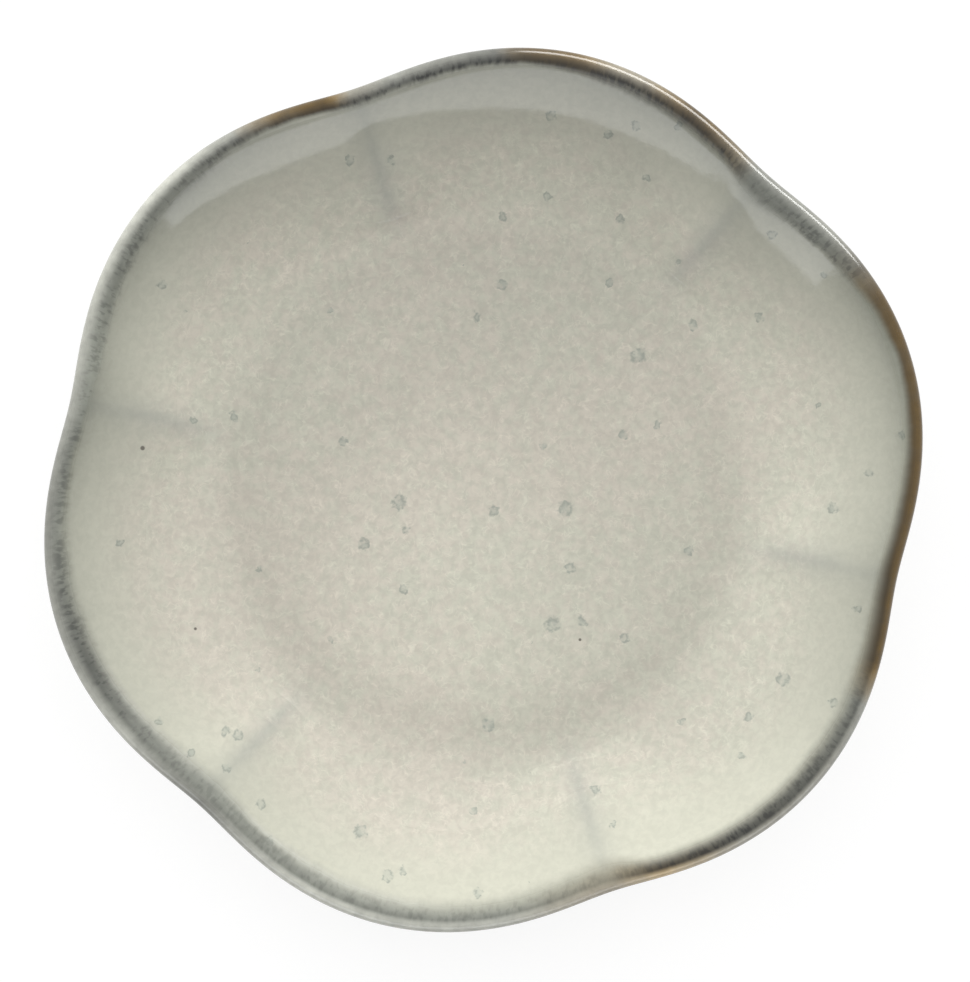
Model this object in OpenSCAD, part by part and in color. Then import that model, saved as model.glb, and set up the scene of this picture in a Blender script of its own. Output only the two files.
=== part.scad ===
// Scalloped stoneware dessert plate: a lobed dish with a rounded lip on a low foot ring.
// The fired glaze lies on the clay as separate coats. Sizes are in millimetres and +Z is up.
// The origin is the centre of the foot ring, on the table.

/* [Plate] */
// Diameter across two opposite lobe crowns of a round plate
plate_d = 210; // [180:1:260]
// Height from the table to the top of the lip
plate_h = 28; // [22:0.5:40]
// Diameter of the level floor inside the wall
well_d = 120; // [90:1:140]
// Thickness of the clay under the level floor
floor_t = 4.6; // [3:0.1:8]
// Thickness of the rounded lip, glaze included
lip_t = 5; // [3:0.1:7]
// Slope of the face where the wall leaves the floor, in degrees
face_lift = 4; // [2:1:16]
// Slope of the back where the wall leaves the foot ring, in degrees
back_lift = 12; // [2:1:20]

/* [Scallops] */
// Number of lobes round the rim
lobe_count = 6; // [4:1:10]
// Direction of the first lobe crown, in degrees
crown_angle = 18; // [0:0.5:60]
// How far a notch at the lip lies inside the lobe crowns
notch_depth = 5.5; // [1:0.1:9]
// Roundness of a notch, from a sharp pinch to an even wave
notch_roundness = 0.3; // [0.1:0.05:1]
// Extra depth of the flutes half-way up the wall, where the lobes are scooped out most
flute_swell = 4.5; // [0:0.5:8]
// How far the lip of a hand-pressed plate is pulled out of round, along its long axis
out_of_round = 0.4; // [0:0.1:2]
// Direction of that long axis, in degrees
long_axis = 34; // [0:1:180]

/* [Foot ring] */
// Outside diameter of the foot ring
foot_d = 124; // [90:1:140]
// Width of the foot ring
foot_w = 6; // [4:0.5:12]
// Height of the foot ring under the clay floor
foot_h = 3; // [2:0.1:6]
// Rounding of the foot ring's two lower edges
foot_edge = 1; // [0.4:0.1:1.4]

/* [Glaze] */
// Thickness of the glaze
glaze_t = 0.5; // [0.2:0.05:1]
// Width of the iron-rich band on the face, inwards from the round of the lip
band_in = 2.5; // [1:0.5:12]
// Width of the iron-rich band on the back, downwards from the round of the lip
band_out = 3; // [1:0.5:12]
// Bare clay left on each side of the foot ring, where the glaze is wiped off
wipe_w = 1.5; // [0.5:0.1:4]

/* [Hidden] */

// Steps of the surfaces: round each lobe, up the face, down the back, round the outer quarter
// of the lip and round the shorter arcs that lead from it to the face and to the back
lobe_steps = 14;
face_steps = 7;
back_steps = 5;
lip_outer_steps = 3;
lip_side_steps = 2;
// Share by which the steps crowd together at the notches
crowding = 0.6;
foot_facets = 96;

plate_r = plate_d / 2;
well_r = well_d / 2;
foot_r = foot_d / 2;
foot_mid_r = foot_r - foot_w / 2;
recess_r = foot_r - foot_w - wipe_w;
wiped_r = foot_r + wipe_w;
floor_z = foot_h + floor_t;

// The lip is a round end: both sides of the wall run into it at a tangent
clay_lip_r = lip_t / 2 - glaze_t;
lip_centre = [plate_r - lip_t / 2, plate_h - lip_t / 2];

// A side of the wall is an arc parallel to one that rises from its start to the lip's centre.
// The start lies one lip radius inside the clay, so the arc is worked out on that inner line.
function outward(slope) = [sin(slope), -cos(slope)];
face_start = [well_r, floor_z] + clay_lip_r * outward(face_lift);
back_start = [foot_mid_r, foot_h] - clay_lip_r * outward(back_lift);
function chord_slope(start) = atan2(lip_centre.y - start.y, lip_centre.x - start.x);
function arc_r(start, lift) = norm(lip_centre - start) / (2 * sin(chord_slope(start) - lift));
function arc_centre(start, lift) = start - arc_r(start, lift) * outward(lift);

face_arc_r = arc_r(face_start, face_lift) - clay_lip_r;
face_arc_centre = arc_centre(face_start, face_lift);
face_top = 2 * chord_slope(face_start) - face_lift;
back_arc_r = arc_r(back_start, back_lift) + clay_lip_r;
back_arc_centre = arc_centre(back_start, back_lift);
back_top = 2 * chord_slope(back_start) - back_lift;

// Slopes at which one glaze ends and the next begins
function arc_turn(length, radius) = length / radius * 180 / PI;
face_band = face_top - arc_turn(band_in, face_arc_r);
back_band = back_top - arc_turn(band_out, back_arc_r);
back_wipe = asin((wiped_r - back_arc_centre.x) / back_arc_r);

// Points of the section as [radius, height, share]. coat is the glaze over the clay there, and
// share is how far up the wall the point lies: 0 at the floor and at the wiped clay, 1 at the lip.
function face_point(slope, coat) = concat(
    face_arc_centre + (face_arc_r - coat) * outward(slope),
    (slope - face_lift) / (face_top - face_lift)
);
function back_point(slope, coat) = concat(
    back_arc_centre + (back_arc_r + coat) * outward(slope),
    max(0, (slope - back_wipe) / (back_top - back_wipe))
);
function lip_point(turn, coat) = concat(
    lip_centre + (clay_lip_r + coat) * [cos(turn), sin(turn)],
    1
);

// Runs along the section, in the order floor, face, lip, back and foot
function spread(from, to, steps) = [for (i = [0:steps]) from + (to - from) * i / steps];
function tail(list) = [for (i = [1:len(list) - 1]) list[i]];
function reverse(list) = [for (i = [len(list) - 1:-1:0]) list[i]];
lip_turns = concat(
    spread(90 + face_top, 90, lip_side_steps),
    tail(spread(90, 0, lip_outer_steps)),
    tail(spread(0, back_top - 90, lip_side_steps))
);
function face_run(coat) =
    [for (slope = spread(face_lift, face_band, face_steps)) face_point(slope, coat)];
function rim_run(coat) = concat(
    [face_point(face_band, coat)],
    [for (turn = lip_turns) lip_point(turn, coat)],
    [back_point(back_band, coat)]
);
function back_run(coat) =
    [for (slope = spread(back_band, back_wipe, back_steps)) back_point(slope, coat)];

// Directions of the sections, counted from a lobe crown
lobe_angle = 360 / lobe_count;
function crowded(t) = t + crowding * sin(360 * t) / (2 * PI);
directions = [for (i = [0:lobe_count * lobe_steps - 1]) lobe_angle * crowded(i / lobe_steps)];

// Height of the scallop wave: 1 at a lobe crown and 0 at a notch
function lobe_wave(direction) =
    let (swing = cos(lobe_count * direction / 2), soft = notch_roundness)
    (sqrt(swing * swing + soft * soft) - soft) / (sqrt(1 + soft * soft) - soft);

// The flutes press the wall inwards between the lobes. They rise gently from nothing at the floor,
// are deepest half-way up the wall and end as the notches in the lip.
function eased(share) = share * share * (3 - 2 * share);
function flute_depth(share) =
    let (rise = eased(share))
    notch_depth * rise + flute_swell * 4 * rise * (1 - rise);

// A plate that is out of round is longer along one axis of the lip and narrower across it
function pull(share, turn) = out_of_round * eased(share) * cos(2 * (turn - long_axis));

// A four-sided facet is cut along its shorter diagonal, so that coats that seat on each other match
function halves(points, a, b, c, d) =
    norm(points[a] - points[c]) < norm(points[b] - points[d])
        ? [[a, c, b], [a, d, c]]
        : [[a, d, b], [b, d, c]];

// A solid turned from a section and pressed into lobes. A closed section gives a ring,
// and an open one is capped with level faces at both ends.
module scalloped(section, closed) {
    rows = len(section);
    columns = len(directions);
    function corner(column, row) = (column % columns) * rows + row % rows;
    points = [
        for (direction = directions)
            for (point = section)
                let (turn = direction + crown_angle, share = point[2])
                let (pressed = flute_depth(share) * (1 - lobe_wave(direction)))
                let (radius = point[0] - pressed + pull(share, turn))
                [radius * cos(turn), radius * sin(turn), point[1]]
    ];
    sides = [
        for (column = [0:columns - 1])
            for (row = [0:closed ? rows - 1 : rows - 2])
                each halves(
                    points,
                    corner(column, row),
                    corner(column, row + 1),
                    corner(column + 1, row + 1),
                    corner(column + 1, row)
                )
    ];
    top_cap = [for (column = [columns - 1:-1:0]) corner(column, 0)];
    bottom_cap = [for (column = [0:columns - 1]) corner(column, rows - 1)];
    polyhedron(points, closed ? sides : concat(sides, [top_cap, bottom_cap]), convexity = 6);
}

// The foot ring reaches half-way into the clay floor, and its lower edges are round
module foot_ring() {
    foot_top = foot_h + floor_t / 2;
    inner_r = foot_r - foot_w;
    rotate_extrude($fn = foot_facets) {
        translate([inner_r, foot_edge]) square([foot_w, foot_top - foot_edge]);
        translate([inner_r + foot_edge, 0]) square([foot_w - 2 * foot_edge, foot_top]);
        for (x = [inner_r + foot_edge, foot_r - foot_edge])
            translate([x, foot_edge]) circle(foot_edge, $fn = foot_facets);
    }
}

// Pressed clay dish with its foot ring, one fired piece
module stoneware_body() {
    section = concat(face_run(0), tail(rim_run(0)), tail(back_run(0)), [back_point(back_lift, 0)]);
    color("#b39c80") union() {
        scalloped(section, closed = false);
        foot_ring();
    }
}

// Pale glaze over the floor and the lobes, up to the band round the lip
module face_glaze() {
    color("#cac6b8") scalloped(concat(face_run(glaze_t), reverse(face_run(0))), closed = false);
}

// Iron-rich band that is drawn thin over the lip
module rim_glaze() {
    color("#4d4640") scalloped(concat(rim_run(glaze_t), reverse(rim_run(0))), closed = true);
}

// Pale glaze down the back of the lobes, wiped off beside the foot ring
module back_glaze() {
    color("#c1bdae") scalloped(concat(back_run(glaze_t), reverse(back_run(0))), closed = true);
}

// Disc of glaze on the underside, inside the foot ring
module recess_glaze() {
    color("#bcb8a9") translate([0, 0, foot_h - glaze_t])
        cylinder(h = glaze_t, r = recess_r, $fn = foot_facets);
}

stoneware_body();
face_glaze();
rim_glaze();
back_glaze();
recess_glaze();
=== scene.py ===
import math
from collections import namedtuple

import bpy
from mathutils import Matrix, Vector


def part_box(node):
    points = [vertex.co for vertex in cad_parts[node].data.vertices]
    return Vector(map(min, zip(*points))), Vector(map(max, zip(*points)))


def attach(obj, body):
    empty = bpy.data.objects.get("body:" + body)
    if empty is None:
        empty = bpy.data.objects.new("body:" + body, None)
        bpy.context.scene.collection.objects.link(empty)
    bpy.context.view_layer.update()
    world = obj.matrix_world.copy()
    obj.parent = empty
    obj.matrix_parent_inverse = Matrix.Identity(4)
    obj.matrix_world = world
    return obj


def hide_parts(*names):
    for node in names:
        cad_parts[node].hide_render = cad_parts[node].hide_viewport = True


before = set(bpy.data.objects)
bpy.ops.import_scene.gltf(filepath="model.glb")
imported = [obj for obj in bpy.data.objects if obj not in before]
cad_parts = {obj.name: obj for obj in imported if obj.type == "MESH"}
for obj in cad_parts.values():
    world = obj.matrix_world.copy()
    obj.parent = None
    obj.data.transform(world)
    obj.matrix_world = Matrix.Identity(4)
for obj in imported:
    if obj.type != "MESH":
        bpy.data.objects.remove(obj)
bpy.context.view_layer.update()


# Stoneware body
# The clay dish: a level floor, a wall pressed over a mould into six lobes, a round lip and a turned foot.
# It is one piece of buff stoneware, fired hard. Glaze covers all but the foot ring, which is wiped bare.

plate_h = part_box("rim_glaze")[1].z
floor_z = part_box("face_glaze")[0].z
foot_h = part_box("recess_glaze")[1].z
recess_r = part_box("recess_glaze")[1].x
# A hair less than the solids have, so that the smooth lobes stay inside their faceted box
plate_r = 0.10492
well_r = 0.060
lip_r = 0.0025
glaze_t = 0.0005
face_lift = math.radians(4)
back_lift = math.radians(12)
# Slope at which the round turn from the floor runs into the wall
turn_slope = math.radians(15)

lobe_count = 6
crown_angle = math.radians(18)
notch_depth = 0.0055
# From a sharp pinch at 0 to an even wave at 1: the notches in the lip, and the creases below them
notch_roundness = 0.3
crease_roundness = 0.09
flute_swell = 0.0045
out_of_round = 0.0004
long_axis = math.radians(34)

foot_r = 0.062
foot_w = 0.006
foot_edge = 0.001
foot_fillet = 0.0006
wiped_r = 0.0635

lobe_columns = 72
lobe_angle = math.tau / lobe_count
clay_lip_r = lip_r - glaze_t
lip_centre = Vector((plate_r - lip_r, plate_h - lip_r))

# A point of the section: its share of the way up the wall, which sets how far the flutes press it in,
# and its reach, the way along the skin from the outermost line of the lip, negative on the back.
Point = namedtuple("Point", "radius height share reach")
# The reach that stands for all points near the foot, far from the lip
foot_reach = -1


def outward(slope):
    return Vector((math.sin(slope), -math.cos(slope)))


def wall_arc(start, lift):
    """Radius, centre and last slope of the arc that leaves start at a slope and ends in the lip's centre."""
    chord = lip_centre - start
    chord_slope = math.atan2(chord.y, chord.x)
    radius = chord.length / (2 * math.sin(chord_slope - lift))
    return radius, start - radius * outward(lift), 2 * chord_slope - lift


face_arc_r, face_centre, face_top = wall_arc(
    Vector((well_r, floor_z)) + clay_lip_r * outward(face_lift), face_lift
)
back_arc_r, back_centre, back_top = wall_arc(
    Vector((foot_r - foot_w / 2, foot_h)) - clay_lip_r * outward(back_lift), back_lift
)
face_arc_r -= clay_lip_r
back_arc_r += clay_lip_r
back_wipe = math.asin((wiped_r - back_centre.x) / back_arc_r)
face_reach = lip_r * (math.pi / 2 + face_top)
back_reach = lip_r * (math.pi / 2 - back_top)


def spread(start, end, steps):
    """Steps that crowd towards both ends, so that the shading of one run goes on smoothly in the next."""
    return [start + (end - start) * (1 - math.cos(math.pi * step / steps)) / 2 for step in range(steps + 1)]


def face_point(slope, coat):
    place = face_centre + (face_arc_r - coat) * outward(slope)
    share = (slope - face_lift) / (face_top - face_lift)
    return Point(place.x, place.y, share, face_reach + face_arc_r * (face_top - slope))


def lip_point(turn, coat):
    place = lip_centre + (clay_lip_r + coat) * Vector((math.cos(turn), math.sin(turn)))
    return Point(place.x, place.y, 1, lip_r * turn)


def back_point(slope, coat):
    place = back_centre + (back_arc_r + coat) * outward(slope)
    share = max(0, (slope - back_wipe) / (back_top - back_wipe))
    return Point(place.x, place.y, share, -back_reach - back_arc_r * (back_top - slope))


def floor_run(coat, rings):
    """Level from the axis outwards, then up the round turn that leads into the wall."""
    level = floor_z + coat
    wall = face_point(turn_slope, coat)
    turn_w = 2 * (wall.height - level) / math.tan(turn_slope)
    turn_start = wall.radius - turn_w
    points = []
    for radius in spread(0, turn_start, rings) + spread(turn_start, wall.radius, rings)[1:-1]:
        turn = max(0, radius - turn_start)
        height = level + turn * turn * math.tan(turn_slope) / (2 * turn_w)
        share = max(0, wall.share * (turn / turn_w * 2 - 1))
        points.append(Point(radius, height, share, wall.reach + wall.radius - radius))
    return points


def face_run(coat, highest, rings):
    return [face_point(slope, coat) for slope in spread(turn_slope, highest, rings)]


def lip_run(coat, rings):
    return [lip_point(turn, coat) for turn in spread(math.pi / 2 + face_top, back_top - math.pi / 2, rings)]


def back_run(coat, highest, lowest, rings):
    return [back_point(slope, coat) for slope in spread(highest, lowest, rings)]


def quarter(centre_r, centre_z, radius, first, last, rings=5):
    """Round of an edge or a corner near the foot, where nothing is pressed."""
    points = []
    for turn in spread(math.radians(first), math.radians(last), rings):
        place = (centre_r + radius * math.cos(turn), centre_z + radius * math.sin(turn))
        points.append(Point(*place, 0, foot_reach))
    return points


def turned(name, section):
    """Draws a section vertex by vertex, spins it over one lobe and repeats that round the plate's axis."""
    bpy.ops.object.select_all(action="DESELECT")
    start = (section[0].radius, 0, section[0].height)
    bpy.ops.mesh.primitive_plane_add(size=glaze_t, location=start, enter_editmode=True)
    bpy.ops.mesh.merge(type="CENTER")
    # Out of edit mode and in again: the merged corners are then gone, and new points keep their order
    bpy.ops.object.editmode_toggle()
    bpy.ops.object.editmode_toggle()
    for last, point in zip(section, section[1:]):
        step = (point.radius - last.radius, 0, point.height - last.height)
        bpy.ops.mesh.extrude_vertices_move(TRANSFORM_OT_translate={"value": step})
    bpy.ops.object.mode_set(mode="OBJECT")
    bpy.ops.object.transform_apply(location=True)
    piece = bpy.context.object
    piece.name = name
    piece.data.name = name
    for field in ("share", "reach"):
        layer = piece.data.attributes.new(field, "FLOAT", "POINT")
        layer.data.foreach_set("value", [getattr(point, field) for point in section])
    bpy.ops.object.mode_set(mode="EDIT")
    bpy.ops.mesh.select_all(action="SELECT")
    around = {"center": (0, 0, 0), "axis": (0, 0, 1)}
    bpy.ops.mesh.spin(steps=lobe_columns, angle=lobe_angle, **around)
    bpy.ops.mesh.select_all(action="SELECT")
    bpy.ops.mesh.spin(steps=lobe_count - 1, angle=math.tau - lobe_angle, dupli=True, **around)
    bpy.ops.mesh.select_all(action="SELECT")
    bpy.ops.mesh.remove_doubles(threshold=1e-6)
    bpy.ops.mesh.normals_make_consistent(inside=False)
    bpy.ops.object.mode_set(mode="OBJECT")
    return piece


def lobe_wave(direction, roundness):
    """1 at a lobe's crown and 0 at a notch."""
    swing = math.cos(lobe_count * (direction - crown_angle) / 2)
    return (math.hypot(swing, roundness) - roundness) / (math.hypot(1, roundness) - roundness)


def pressing(share, direction):
    """How far a point is moved outwards: inwards in a flute, and a little outwards along the long axis."""
    rise = share * share * (3 - 2 * share)
    flute_depth = notch_depth * rise + flute_swell * 4 * rise * (1 - rise)
    # The creases stay crisp most of the way up and widen into the notches just below the lip
    roundness = crease_roundness + (notch_roundness - crease_roundness) * share ** 8
    pull = out_of_round * rise * math.cos(2 * (direction - long_axis))
    return pull - flute_depth * (1 - lobe_wave(direction, roundness))


def pressed(piece):
    """Presses a turned piece into its lobes and smooths its shading."""
    for vertex, share in zip(piece.data.vertices, piece.data.attributes["share"].data):
        if share.value > 0:
            direction = math.atan2(vertex.co.y, vertex.co.x)
            scale = 1 + pressing(share.value, direction) / math.hypot(vertex.co.x, vertex.co.y)
            vertex.co.x *= scale
            vertex.co.y *= scale
    piece.data.attributes.remove(piece.data.attributes["share"])
    bpy.ops.object.shade_smooth_by_angle(angle=math.radians(35))
    return piece


class Wire:
    """One output of a shader node. Arithmetic on wires adds Math nodes."""

    def __init__(self, socket):
        self.socket = socket

    def node(self, kind, settings, sockets, output=0):
        """Adds a node: its settings first, then the values and wires of its sockets."""
        tree = self.socket.id_data
        made = tree.nodes.new(kind)
        for setting, value in settings.items():
            setattr(made, setting, value)
        for socket, value in sockets.items():
            if isinstance(value, Wire):
                tree.links.new(value.socket, made.inputs[socket])
            else:
                made.inputs[socket].default_value = value
        return Wire(made.outputs[output])

    def maths(self, operation, *others):
        return self.node("ShaderNodeMath", {"operation": operation}, dict(enumerate((self, *others))))

    def __add__(self, other):
        return self.maths("ADD", other)

    def __sub__(self, other):
        return self.maths("SUBTRACT", other)

    def __rsub__(self, other):
        return self.node("ShaderNodeMath", {"operation": "SUBTRACT"}, {0: other, 1: self})

    def __mul__(self, other):
        return self.maths("MULTIPLY", other)

    def __truediv__(self, other):
        return self.maths("DIVIDE", other)

    __radd__ = __add__
    __rmul__ = __mul__

    def vector(self, operation, *others, output="Vector"):
        """Arithmetic on places, as maths is on numbers."""
        sockets = dict(enumerate((self, *others)))
        return self.node("ShaderNodeVectorMath", {"operation": operation}, sockets, output)

    def parts(self, kind="XYZ"):
        """The three axes of a place, or the red, green and blue of a colour."""
        first = self.node("ShaderNodeSeparate" + kind, {}, {0: self})
        return [Wire(output) for output in first.socket.node.outputs]

    def rise(self, start, end):
        """0 at start and 1 at end, with a smooth rise between them."""
        span = {"Value": self, "From Min": start, "From Max": end}
        return self.node("ShaderNodeMapRange", {"interpolation_type": "SMOOTHSTEP"}, span)

    def between(self, start, full, fading, end):
        """1 from full to fading and 0 before start and after end, smooth between them."""
        return self.rise(start, full) * (1 - self.rise(fading, end))

    def ramp(self, stops):
        """A colour that changes from stop to stop along this wire. A stop is a place and a colour."""
        blend = self.node("ShaderNodeValToRGB", {}, {0: self})
        elements = blend.socket.node.color_ramp.elements
        for place, colour in stops[2:]:
            elements.new(place)
        for element, (place, colour) in zip(elements, stops):
            element.position = place
            element.color = (*colour, 1)
        return blend

    def mix(self, colour, other):
        """colour where this mask is 0 and other where it is 1."""
        return self.node("ShaderNodeMix", {"data_type": "RGBA"}, {0: self, 6: colour, 7: other}, 2)

    def times(self, other):
        """This colour made lighter, darker or of another hue by a factor or a colour."""
        if isinstance(other, Wire) and other.socket.type == "VALUE":
            return self.node("ShaderNodeVectorMath", {"operation": "SCALE"}, {0: self, "Scale": other})
        return self.vector("MULTIPLY", other)

    def grain(self, scale, detail=2.0, roughness=0.5, distortion=0.0):
        """Noise of so many grains per metre where this wire is the place, about 0.5 on average."""
        sockets = {"Vector": self, "Scale": scale, "Detail": detail}
        sockets.update({"Roughness": roughness, "Distortion": distortion})
        return self.node("ShaderNodeTexNoise", {}, sockets)

    def feed(self, node, socket):
        self.socket.id_data.links.new(self.socket, node.inputs[socket])


def surface(piece, name):
    """Gives a piece a new material, and returns its shader and the wire of its Object coordinates."""
    material = bpy.data.materials.new(name)
    material.use_nodes = True
    piece.data.materials.clear()
    piece.data.materials.append(material)
    tree = material.node_tree
    return tree.nodes["Principled BSDF"], Wire(tree.nodes.new("ShaderNodeTexCoord").outputs["Object"])


def relief(shader, height, depth):
    """Raises the surface by a mask times a depth in metres."""
    bump = height.node("ShaderNodeBump", {}, {"Height": height, "Distance": depth, "Strength": 1.0})
    bump.feed(shader, "Normal")


foot_slope = math.asin((foot_r + foot_fillet - back_centre.x) / back_arc_r)
foot_top = back_point(foot_slope, 0).height
foot_inner_r = foot_r - foot_w
recess_rings = (0.04, 0.02, 0)
clay_section = (
    floor_run(0, rings=6)
    + face_run(0, face_top, rings=12)
    + lip_run(0, rings=12)[1:]
    + back_run(0, back_top, foot_slope, rings=12)[1:]
    + quarter(foot_r + foot_fillet, foot_top - foot_fillet, foot_fillet, 90, 180)[1:]
    + quarter(foot_r - foot_edge, foot_edge, foot_edge, 0, -90)
    + quarter(foot_inner_r + foot_edge, foot_edge, foot_edge, 270, 180)
    + quarter(foot_inner_r - foot_fillet, foot_h - foot_fillet, foot_fillet, 0, 90)
    + [Point(radius, foot_h, 0, foot_reach) for radius in recess_rings]
)
clay_body = pressed(turned("clay_body", clay_section))

shader, place = surface(clay_body, "bare_stoneware")
buff_clay = (0.52, 0.40, 0.28, 1)
toasted_clay = (0.40, 0.27, 0.17, 1)
iron_speck = (0.10, 0.06, 0.04, 1)
flush = place.grain(60, 3).rise(0.35, 0.7)
grit = place.grain(1800, 2, 0.7)
specks = place.grain(900, 1).rise(0.68, 0.74)
specks.mix(flush.mix(buff_clay, toasted_clay), iron_speck).feed(shader, "Base Color")
(0.78 + 0.14 * grit).feed(shader, "Roughness")
relief(shader, grit, depth=0.00008)

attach(clay_body, "root")
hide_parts("stoneware_body")


# Face glaze
# The grey-beige glaze over the floor and the inside of the lobes, half a millimetre thick. It is poured on
# and fired glossy: cream threads and grey-green flecks grow in it, and it runs thin over the flutes' ridges.

band_in = 0.0025
face_band = face_top - band_in / face_arc_r
face_skin = floor_run(glaze_t, rings=10) + face_run(glaze_t, face_band, rings=30)
face_bed = floor_run(0, rings=5) + face_run(0, face_band, rings=15)
face_coat = pressed(turned("face_glaze_coat", face_skin + face_bed[::-1]))

warm_glass = (0.596, 0.557, 0.475, 1)
green_glass = (0.565, 0.56, 0.466, 1)
smooth_glass = (0.575, 0.572, 0.475, 1)
thin_ridge = (0.29, 0.305, 0.29, 1)
fleck_green = (0.40, 0.43, 0.37, 1)
fleck_line = (0.22, 0.24, 0.21, 1)
pinhole_brown = (0.07, 0.06, 0.045, 1)

# The larger flecks: how far right and up of the plate's middle, and radius, in millimetres
large_flecks = [
    (4.5, 49, 1.4), (4.5, 65, 1.2), (37, 32, 1.9), (30, 49.5, 1), (-20, -3, 1.9), (2.5, -5, 1.4),
    (19.5, -4.5, 1.9), (-28.5, -13, 1.4), (-19, -23.5, 1.2), (20.5, -18.5, 1.4), (16.5, -32, 1.9),
    (23.5, -31.5, 1.4), (33.5, -35.5, 1.2), (1, -56, 1.7), (-59.5, 17.5, 1.2), (-76, 48.5, 1.2),
    (-31.5, 78, 1.2), (16, 88.5, 1.2), (38.5, 74, 1.1), (32.5, 64.5, 1.1), (71, -45, 1.7),
    (63, -54, 1.2), (26.5, -71, 1.2), (-58, -58, 1.3), (-60.5, -65.5, 1.1), (-52.5, -74, 1.3),
    (-29, -81, 1.7), (-22.5, -91, 1.5), (29.5, 84, 1.2), (36, 86, 1.1), (46, 85.5, 1), (68, 60, 1.2),
    (91, 4, 1), (88, -28, 1), (61, -63, 1), (-61, -57, 1.2), (-76.5, -54.5, 1), (-19, -90, 1),
    (-86, -12.5, 1), (-69, 16.5, 1), (-22, 78, 1.1), (-18.5, -9.5, 1), (41.5, 15.5, 1),
]
# Pinholes burnt brown, in the same measures
pinholes = [(-68.5, -33, 0.4), (23, -35.7, 0.4), (-80.7, 9.9, 0.6)]
# A round patch of the floor that is drawn paler, in the same measures
palest = [(-19, -25, 52)]


def flattened(place):
    """The place on the plate seen from above."""
    return place.vector("MULTIPLY", (1, 1, 0))


def off_spots(place, spots):
    """How far a place is from the nearest of some spots, in radii of that spot."""
    nearest = None
    for right, up, radius in spots:
        centre = (right / 1000, up / 1000, 0)
        gap = place.vector("DISTANCE", centre, output="Value") / (radius / 1000)
        nearest = gap if nearest is None else gap.maths("MINIMUM", nearest)
    return nearest


def fired_glaze(place, reach):
    """Colour, gloss and relief of the glaze as it lies over most of the plate."""
    flat = flattened(place)
    right, up, _ = flat.parts()
    radius = flat.vector("LENGTH", output="Value")
    away = reach.maths("ABSOLUTE")

    # Cream threads, curls and warm and green tints, which fade towards the lip
    threads = place.grain(560, 3, 0.6, 0.5).rise(0.28, 0.72)
    tints = place.grain(260, 3, 0.65).rise(0.3, 0.7)
    blotches = place.grain(130, 2)
    bends = place.grain(480, 1, 0.5, 0.8) - 0.5
    curls = (1 - bends.maths("ABSOLUTE").rise(0.0, 0.055)) * place.grain(360, 1).rise(0.42, 0.6)
    clouds = place.grain(17, 2).rise(0.42, 0.62)
    usual_curls = 0.17
    mottled = away.rise(0.012, 0.034)
    warmth = tints - 0.5 * (clouds - 0.5)
    colour = mottled.mix(smooth_glass, warmth.mix(green_glass, warm_glass))
    shade = (0.08 + 0.07 * mottled) * (threads - 0.5) + 0.06 * (blotches - 0.5)
    colour = colour.times(1 + shade + 0.11 * mottled * (curls - usual_curls))

    # It is paler over a patch of the floor and pools where the floor turns up into the wall. Painted shade
    # darkens that turn further on the near side, and the glaze drains off the foot of the other walls
    pale_patch = 1 - off_spots(flat, palest).rise(0.15, 1.0)
    colour = colour.times(1 + 0.08 * pale_patch)
    pool = radius.between(0.047, 0.056, 0.058, 0.068) * (0.005 + 0.045 * blotches)
    # Painted shade on the near side of the turn from floor to wall
    near_side_shade = radius.between(0.044, 0.058, 0.06, 0.076) * (1 - up.rise(-0.058, -0.012))
    drained = radius.between(0.058, 0.066, 0.074, 0.09) * up.rise(-0.06, -0.035)
    colour = colour.times(1 - pool - 0.06 * near_side_shade + 0.07 * drained)

    # It runs thin over the ridges between the lobes, which waver a little
    lobe = (up.maths("ARCTAN2", right) - crown_angle) / lobe_angle + 0.05 * (place.grain(25) - 0.5)
    off_ridge = (lobe.maths("FLOORED_MODULO", 1.0) - 0.5).maths("ABSOLUTE") * lobe_angle * radius
    ridge = 0.55 * (1 - off_ridge.rise(0.0, 0.007)) + 0.45 * (1 - off_ridge.rise(0.0, 0.0026))
    ridge = ridge * radius.rise(0.059, 0.074) * (0.38 - 0.16 * radius.rise(0.08, 0.092))
    colour = ridge.mix(colour, thin_ridge)

    # Flecks with ragged outlines: small ones scattered by chance, and the larger ones in their places
    ragged = 0.001
    noise = {"Vector": flat, "Scale": 700.0, "Detail": 3.0}
    stray = flat.node("ShaderNodeTexNoise", {"noise_dimensions": "2D"}, noise, "Color")
    behind = flat.vector("SUBTRACT", (ragged, ragged, 0))
    wander = stray.vector("MULTIPLY_ADD", (2 * ragged, 2 * ragged, 0), behind)
    cells = {"Vector": wander, "Scale": 60.0}
    seeds = wander.node("ShaderNodeTexVoronoi", {"voronoi_dimensions": "2D"}, cells)
    chance = Wire(seeds.socket.node.outputs["Color"]).parts("Color")[0]
    small = seeds / (0.001 + 0.075 * chance.rise(0.55, 1.0))
    nearest = small.maths("MINIMUM", off_spots(wander, large_flecks))
    fleck = 1 - nearest.rise(0.7, 1.15)
    crumbs = place.grain(750, 2).rise(0.38, 0.58)
    colour = (fleck * (0.3 + 0.35 * crumbs)).mix(colour, fleck_green)
    colour = (0.5 * fleck * nearest.rise(0.2, 0.85) * crumbs).mix(colour, fleck_line)
    pinhole = 1 - off_spots(flat, pinholes).rise(0.6, 1.1)
    colour = (0.8 * pinhole).mix(colour, pinhole_brown)

    gloss = 0.09 + 0.2 * away.rise(0.022, 0.031)
    height = 0.5 * place.grain(260) - 0.6 * pinhole
    return colour, gloss, height
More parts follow.
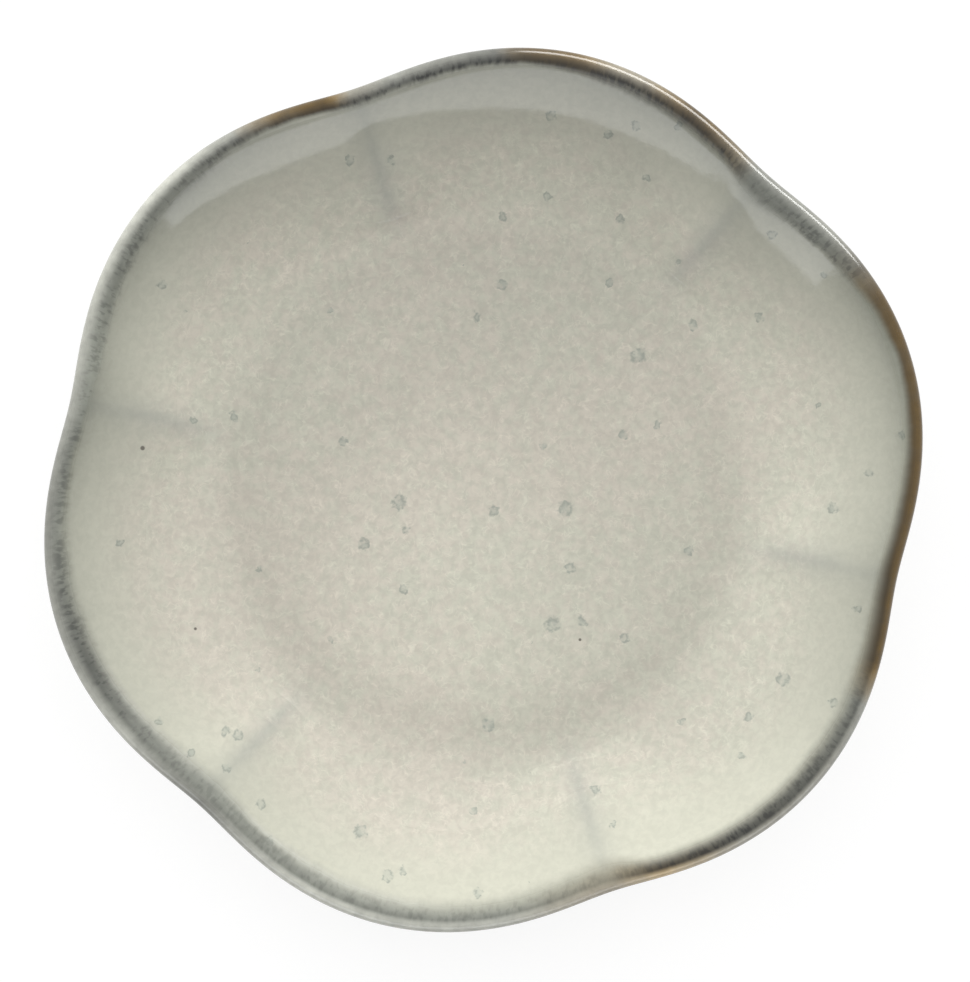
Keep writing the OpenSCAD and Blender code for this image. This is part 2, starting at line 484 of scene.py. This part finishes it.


# Towards the lip the glaze is drawn thin and the iron in the clay comes through as a dark band.
# Its colour round the plate: direction in degrees, how brown it is, how much painted highlight and
# reflection makes the lip above it pale, and how dark it is itself, each from 0 to 1
stain_and_sheen_zones = [
    (0, 1, 0.1, 0.95), (25, 0.9, 0.09, 0.85), (31, 0.1, 0.18, 0.6), (36, 0, 0.4, 0.53),
    (50, 0, 0.32, 0.5), (55, 0.5, 0.18, 0.96), (61, 0.75, 0.09, 1), (68, 0.2, 0.34, 0.94),
    (73, 0.2, 0.36, 0.95), (78, 0.7, 0.13, 1), (84, 0.7, 0.1, 1), (88, 0, 0.2, 1),
    (103, 0, 0.38, 0.85), (109, 0.1, 0.33, 0.95), (112, 1, 0.08, 1), (119, 0.6, 0.14, 1),
    (125, 0, 0.4, 1), (134, 0, 0.7, 0.55), (151, 0, 0.61, 0.45), (163, 0, 0.52, 0.12),
    (174, 0, 0.36, 0.56), (186, 0, 0.32, 0.37), (204, 0, 0.52, 0.8), (214, 0, 0.85, 0.58),
    (228, 0, 0.34, 0.4), (245, 0, 1, 0.4), (273, 0, 0.85, 0.42), (288, 0.2, 0.58, 0.4),
    (295, 0.5, 0.82, 0.94), (306, 0.08, 0.58, 0.9), (331, 0, 0.45, 0.62), (336, 1, 0.1, 0.95),
]
# Its shape round the plate: direction in degrees, how far it reaches along the skin from the outermost line
# of the lip and how softly it ends there, in centimetres, and how much it darkens the glaze below it, partly
# as clouding and partly as painted shade
reach_zones = [
    (0, 0.53, 0.19, 0.46), (18, 0.45, 0.09, 0.62), (25, 0.52, 0.14, 0.62), (30, 0.68, 0.17, 0.48),
    (36, 0.77, 0.08, 0.38), (48, 0.9, 0.26, 0.38), (54, 0.63, 0.15, 0.54), (70, 0.67, 0.2, 0.44),
    (78, 0.63, 0.13, 0.36), (84, 0.54, 0.09, 0.34), (108, 0.54, 0.12, 0.34), (114, 0.49, 0.07, 0.2),
    (120, 0.49, 0.08, 0.34), (127, 0.53, 0.16, 0.48), (134, 0.68, 0.3, 0.6), (144, 0.74, 0.15, 0.5),
    (158, 0.83, 0.11, 0.38), (167, 0.68, 0.1, 0.56), (174, 0.56, 0.15, 0.5), (186, 0.68, 0.25, 0.33),
    (198, 0.83, 0.3, 0.3), (216, 0.96, 0.24, 0.17), (222, 0.94, 0.34, 0.05), (228, 0.89, 0.26, 0.15),
    (236, 0.83, 0.2, 0.1), (246, 0.88, 0.32, 0.08), (272, 0.8, 0.4, 0.04), (288, 0.86, 0.4, 0.04),
    (295, 0.62, 0.26, 0), (318, 0.75, 0.27, 0.03), (331, 0.67, 0.36, 0.28), (352, 0.53, 0.19, 0.46),
]
no_colour = (0, 0, 0, 1)
white = (1, 1, 1, 1)
# Painted highlight and reflection on the lip above the band
painted_lip_sheen = (0.75, 0.757, 0.67, 1)
band_grey = (0.32, 0.333, 0.285, 1)
band_dark = (0.014, 0.015, 0.014, 1)
brown_tint = (1.5, 0.88, 0.18, 1)
# Clouding of the glaze below the band mixed with painted shade
cloud_and_shade_dark = (0.02, 0.035, 0.025, 1)


def iron_band_and_painted_light(place, reach, colour, gloss):
    """Lays the lip's iron band, painted lip highlights and painted shade over the glaze's colour and gloss.
    """
    flat = flattened(place)
    right, up, _ = flat.parts()
    turn = up.maths("ARCTAN2", right) / math.tau + 0.006 * (place.grain(140, 3) - 0.5)
    direction = turn.maths("FLOORED_MODULO", 1.0)

    def zoned(zones):
        return direction.ramp([(degrees / 360, values) for degrees, *values in zones]).parts("Color")

    brown, lip_sheen, darkness = zoned(stain_and_sheen_zones)
    edge, softness, clouding_and_shade = zoned(reach_zones)
    grey = 1 - brown
    # Stretches, in turns round the plate, where the lip ends in a crisp line, where the lip is narrow and
    # where the band has few dashes
    crisp = direction.between(0.61, 0.64, 0.96, 0.99)
    narrow = direction.between(0.79, 0.82, 0.96, 0.99)
    even = direction.between(0.53, 0.58, 0.93, 0.96) + direction.between(0.112, 0.122, 0.136, 0.15)

    # Streaks and dashes that run down the wall: noise on a drum as wide as the plate, drawn out downwards
    drum_r = 0.1
    drawn_out = 0.45
    spoke = flat.vector("NORMALIZE")
    run = reach.node("ShaderNodeCombineXYZ", {}, {"Z": reach * drawn_out})
    along = spoke.vector("MULTIPLY_ADD", (drum_r, drum_r, 0), run)
    streaks = along.grain(1000, 2, 0.5)
    drifts = along.grain(180, 3)
    dashes = (streaks + 0.5 * (drifts - 0.5)).rise(0.46, 0.64)

    # The band ends raggedly on the wall and darkens the glaze below it, less and less further in: partly it
    # clouds the glaze, partly it is painted shade, most where the walls face away from the far window panes
    centimetre = 0.01
    fading = -110
    jitter = (0.0008 * (streaks - 0.5) + 0.002 * (drifts - 0.5)) * (0.3 + 0.7 * grey - 0.4 * even)
    off = reach - centimetre * edge - jitter
    outside = reach.rise(-0.0075, -0.0035)
    band = (1 - (off / (centimetre * softness)).rise(-1.0, 1.0)) * outside
    cloud_and_shade = clouding_and_shade * (off.maths("MAXIMUM", 0.0) * fading).maths("EXPONENT") * outside

    # The lip above it is painted paler in places, a painted highlight and reflection, and both turn brown in
    # places
    deep = (darkness + (0.26 - 0.12 * even) * grey * (dashes - 0.45)).mix(band_grey, band_dark)
    lip_edge = 0.0036 + 0.0002 * crisp - 0.0008 * narrow
    below_lip = ((reach - lip_edge) / (0.0016 - 0.0008 * crisp)).rise(-1.0, 1.0)
    stain_and_sheen = below_lip.mix(lip_sheen.mix(no_colour, painted_lip_sheen), deep)
    stain_and_sheen = stain_and_sheen.times((brown * (0.6 + 0.8 * drifts)).mix(white, brown_tint))
    stain_and_sheen = stain_and_sheen.times(0.7 + 0.6 * place.grain(450, 3))
    colour = band.mix(cloud_and_shade.mix(colour, cloud_and_shade_dark), stain_and_sheen)
    dull = below_lip * band.maths("MAXIMUM", 1 - reach.rise(0.006, 0.0075))
    return colour, gloss + 0.1 * band + 0.28 * dull


def glazed(piece, name, depth, banded):
    """Gives a piece the fired glaze with a relief of some depth, and the band with its painted light if it
    is near the lip.
    """
    shader, place = surface(piece, name)
    reach = place.node("ShaderNodeAttribute", {"attribute_name": "reach"}, {}, "Fac")
    colour, gloss, height = fired_glaze(place, reach)
    if banded:
        colour, gloss = iron_band_and_painted_light(place, reach, colour, gloss)
    colour.feed(shader, "Base Color")
    gloss.feed(shader, "Roughness")
    relief(shader, height, depth)


glaze_relief = 0.00006
glazed(face_coat, "reactive_glaze", glaze_relief, banded=True)

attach(face_coat, "root")
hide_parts("face_glaze")


# Rim glaze
# The same glaze drawn thin over the round of the lip, where the iron in the clay comes through: dark
# blue-grey with fine streaks down the wall, and brown where it is thinnest. Above the band the round is
# painted paler in places, a painted highlight and reflection.

band_out = 0.003
back_band = back_top - band_out / back_arc_r


def rim_run(coat, face_rings, lip_rings, back_rings):
    return (
        [face_point(slope, coat) for slope in spread(face_band, face_top, face_rings)]
        + lip_run(coat, lip_rings)[1:]
        + back_run(coat, back_top, back_band, back_rings)[1:]
    )


rim_skin = rim_run(glaze_t, face_rings=10, lip_rings=28, back_rings=4)
rim_bed = rim_run(0, face_rings=5, lip_rings=14, back_rings=2)
rim_coat = pressed(turned("rim_glaze_coat", rim_skin + rim_bed[::-1] + rim_skin[:1]))

thin_relief = 0.00002
glazed(rim_coat, "rim_glaze", thin_relief, banded=True)

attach(rim_coat, "root")
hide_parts("rim_glaze")


# Back glaze
# The pale glaze down the back of the lobes, from the band to the foot ring. It is sponged off beside the
# ring before firing, so that the plate doesn't stick to its shelf.

back_skin = back_run(glaze_t, back_band, back_wipe, rings=16)
back_bed = back_run(0, back_band, back_wipe, rings=8)
back_coat = pressed(turned("back_glaze_coat", back_skin + back_bed[::-1] + back_skin[:1]))
glazed(back_coat, "back_glaze", glaze_relief, banded=True)

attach(back_coat, "root")
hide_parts("back_glaze")


# Recess glaze
# The disc of glaze inside the foot ring, on the underside. Its edge is wiped round with a sponge, a little
# inside the ring, and is soft.

recess_skin = [Point(radius, foot_h - glaze_t, 0, foot_reach) for radius in reversed(recess_rings)]
recess_edge = quarter(recess_r - glaze_t, foot_h, glaze_t, 270, 360)
recess_bed = [Point(0, foot_h, 0, foot_reach)]
recess_coat = pressed(turned("recess_glaze_coat", recess_skin + recess_edge + recess_bed))
glazed(recess_coat, "recess_glaze", glaze_relief, banded=False)

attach(recess_coat, "root")
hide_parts("recess_glaze")


# Stage
# A wide white table under a soft sky that is brighter on the far side of the plate, with three low window
# panes on that side. The glaze mirrors a bright panel opposite them, and the lip a small card beside it.
# The camera looks straight down.

seen_glow = 0.85
seen_colour = (0.2, 0.2, 0.2, 1)
table_colour = (0.85, 0.85, 0.85, 1)
bpy.ops.object.select_all(action="DESELECT")
bpy.ops.mesh.primitive_circle_add(vertices=96, radius=2.5, fill_type="NGON")
table = bpy.context.object
table.name = "table"
shader, place = surface(table, "white_table")


def seen_directly(tree):
    """1 for rays that show a surface or the sky to the camera, also by a mirror or through glass."""
    path = tree.nodes.new("ShaderNodeLightPath")
    views = [Wire(path.outputs[f"Is {kind} Ray"]) for kind in ("Camera", "Glossy", "Transmission")]
    return views[0] + views[1] + views[2]


seen = seen_directly(table.active_material.node_tree)
seen.mix(table_colour, seen_colour).feed(shader, "Base Color")
seen.mix(no_colour, white).feed(shader, "Emission Color")
shader.inputs["Emission Strength"].default_value = seen_glow
shader.inputs["Roughness"].default_value = 0.8
shader.inputs["Specular IOR Level"].default_value = 0.0

overhead_light = 0.5
far_light = 1.0
world = bpy.data.worlds.new("soft_sky")
world.use_nodes = True
bpy.context.scene.world = world
background = world.node_tree.nodes["Background"]
background.inputs["Color"].default_value = white
towards = Wire(world.node_tree.nodes.new("ShaderNodeTexCoord").outputs["Generated"])
_, far, overhead = towards.parts()
sky = overhead_light * overhead.rise(0.2, 1.0) + far_light * far.rise(-0.7, 0.7)
seen = seen_directly(world.node_tree)
(seen + (1 - seen) * sky).feed(background, "Strength")


def soft_lamp(name, turn, away, rise, width, height, radiance):
    """An upright rectangle of light that faces the plate: its direction in degrees, its sizes in metres."""
    lamp = bpy.data.lights.new(name, "AREA")
    lamp.shape = "RECTANGLE"
    lamp.size = width
    lamp.size_y = height
    lamp.energy = radiance * math.pi * width * height
    holder = bpy.data.objects.new(name, lamp)
    aim = Vector((math.cos(math.radians(turn)), math.sin(math.radians(turn)), 0))
    holder.location = away * aim + Vector((0, 0, rise))
    holder.rotation_euler = aim.to_track_quat("Z", "Y").to_euler()
    holder.visible_camera = False
    bpy.context.scene.collection.objects.link(holder)
    return holder


for side, turn, radiance in (("right", 35, 14.8), ("far", 85, 2.0), ("left", 135, 22.5)):
    pane = soft_lamp("pane_" + side, turn, away=1.5, rise=0.36, width=1.1, height=0.14, radiance=radiance)
    pane.visible_glossy = False
panel_right = 0.04
panel_tilt = math.radians(-6)
cool_white = (0.95, 0.97, 1.0)
panel = soft_lamp("panel", 270, away=1.2, rise=0.325, width=2.84, height=0.59, radiance=2.2)
panel.location.x = panel_right
panel.rotation_euler.rotate_axis("Z", panel_tilt)
panel.data.color = cool_white
panel.visible_diffuse = False
card = soft_lamp("card", 60, away=0.13, rise=0.0395, width=0.13, height=0.014, radiance=13.0)
card.visible_diffuse = False

image_h = 982
pixels_per_metre = 4255
camera_right = 0.00036
camera_up = -0.00024
camera_rise = 1.2
camera_data = bpy.data.cameras.new("camera")
camera_data.lens = pixels_per_metre * camera_rise * camera_data.sensor_width / image_h
camera = bpy.data.objects.new("camera", camera_data)
camera.location = (camera_right, camera_up, plate_h - lip_r + camera_rise)
bpy.context.scene.collection.objects.link(camera)
bpy.context.scene.camera = camera
bpy.context.scene.view_settings.view_transform = "Standard"
